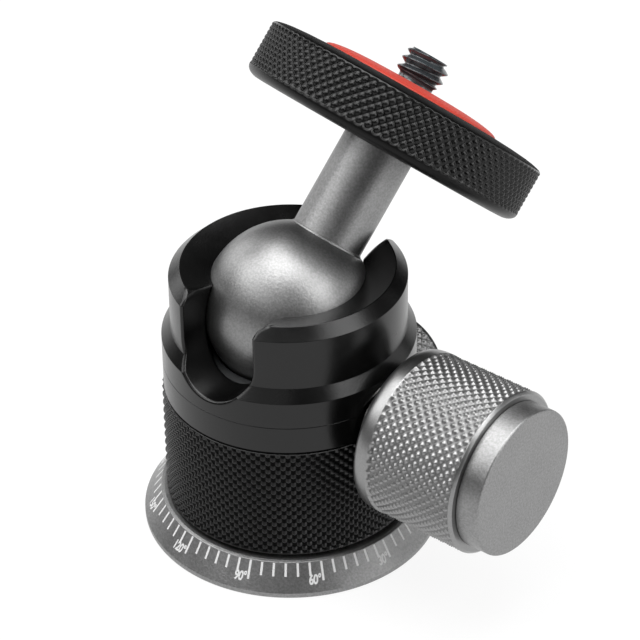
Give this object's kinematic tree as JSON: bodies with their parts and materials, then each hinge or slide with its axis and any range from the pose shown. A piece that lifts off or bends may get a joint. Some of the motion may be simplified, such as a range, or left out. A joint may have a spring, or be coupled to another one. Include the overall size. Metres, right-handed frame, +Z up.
{
  "type": "tripod ball head",
  "caption": "Small metal ball head for a tripod: knurled round camera plate with an orange pad, ball in a notched black collar, main lock knob, pan lock knob and degree dial base.",
  "frame": {"origin": "centre of the mouth of the tripod thread, in the plane of the base's underside", "axes": "+Z up along the pan axis, +X outwards along the main lock knob's axis, +Y outwards along the pan knob's axis"},
  "size_m": [0.0574, 0.0552, 0.0687],
  "materials": {
    "grey_alloy": "bead blasted, grey anodised",
    "black_alloy": "satin black anodised",
    "steel": "turned stainless steel",
    "brass": "turned",
    "glide_plastic": "matte",
    "orange_rubber": "matte"
  },
  "bodies": {
    "base": {"base_disc": "grey_alloy", "pan_spindle": "steel", "thread_reducer": "steel", "base_screw_1": "steel", "base_screw_2": "steel", "base_screw_3": "steel", "glide_washer": "glide_plastic", "top_washer": "steel", "retaining_ring": "steel"},
    "head": {"housing": "black_alloy", "socket_collar": "black_alloy", "lock_bush": "brass", "cover_disc": "steel", "seat_spring_lower": "steel"},
    "seat": {"seat_cup": "black_alloy", "seat_spring_upper": "steel"},
    "lift_pin": {"pressure_pin": "steel"},
    "lock_slide": {"lock_washer": "steel"},
    "lock_handle": {"lock_knob": "grey_alloy", "lock_knob_cap": "grey_alloy", "lock_stud": "steel"},
    "brake_shoe": {"pan_shoe": "brass"},
    "pan_slide": {"pan_washer": "steel"},
    "pan_handle": {"pan_knob": "grey_alloy", "pan_stud": "steel"},
    "ball": {"ball_stem": "grey_alloy"},
    "plate": {"top_plate": "black_alloy", "rubber_pad": "orange_rubber", "camera_screw": "steel"}
  },
  "joints": [
    {"name": "pan", "type": "hinge", "parent": "base", "child": "head", "pos_m": [0, 0, 0], "axis": [0, 0, 1], "continuous": true},
    {"name": "ball_tilt", "type": "hinge", "parent": "head", "child": "ball", "pos_m": [0, 0, 0.0325], "axis": [-0.9812, 0, 0.193], "range_deg": [-131.8, 41]},
    {"name": "ball_spin", "type": "hinge", "parent": "ball", "child": "plate", "pos_m": [0, 0, 0.0325], "axis": [0.1118, 0.661, 0.742], "continuous": true},
    {"name": "lock_turn", "type": "hinge", "parent": "lock_slide", "child": "lock_handle", "pos_m": [0.026, 0, 0.02165], "axis": [-1, 0, 0], "range_deg": [0, 180]},
    {"name": "lock_advance", "type": "slide", "parent": "head", "child": "lock_slide", "axis": [-1, 0, 0], "range_m": [0, 0.0005]},
    {"name": "pin_advance", "type": "slide", "parent": "head", "child": "lift_pin", "axis": [-1, 0, 0], "range_m": [0, 0.0005]},
    {"name": "seat_lift", "type": "slide", "parent": "head", "child": "seat", "axis": [0, 0, 1], "range_m": [0, 0.000255]},
    {"name": "pan_lock_turn", "type": "hinge", "parent": "pan_slide", "child": "pan_handle", "pos_m": [0, 0.021, 0.01065], "axis": [0, -1, 0], "range_deg": [0, 180]},
    {"name": "pan_lock_advance", "type": "slide", "parent": "head", "child": "pan_slide", "axis": [0, -1, 0], "range_m": [0, 0.0004]},
    {"name": "shoe_advance", "type": "slide", "parent": "head", "child": "brake_shoe", "axis": [0, -1, 0], "range_m": [0, 0.0004]}
  ],
  "couplings": [
    {"joint": "lock_turn", "follows": "lock_advance", "rad_per_m": 6283.2},
    {"joint": "pin_advance", "follows": "lock_advance", "ratio": 1},
    {"joint": "seat_lift", "follows": "lock_advance", "ratio": 0.50953},
    {"joint": "pan_lock_turn", "follows": "pan_lock_advance", "rad_per_m": 7854},
    {"joint": "shoe_advance", "follows": "pan_lock_advance", "ratio": 1}
  ]
}
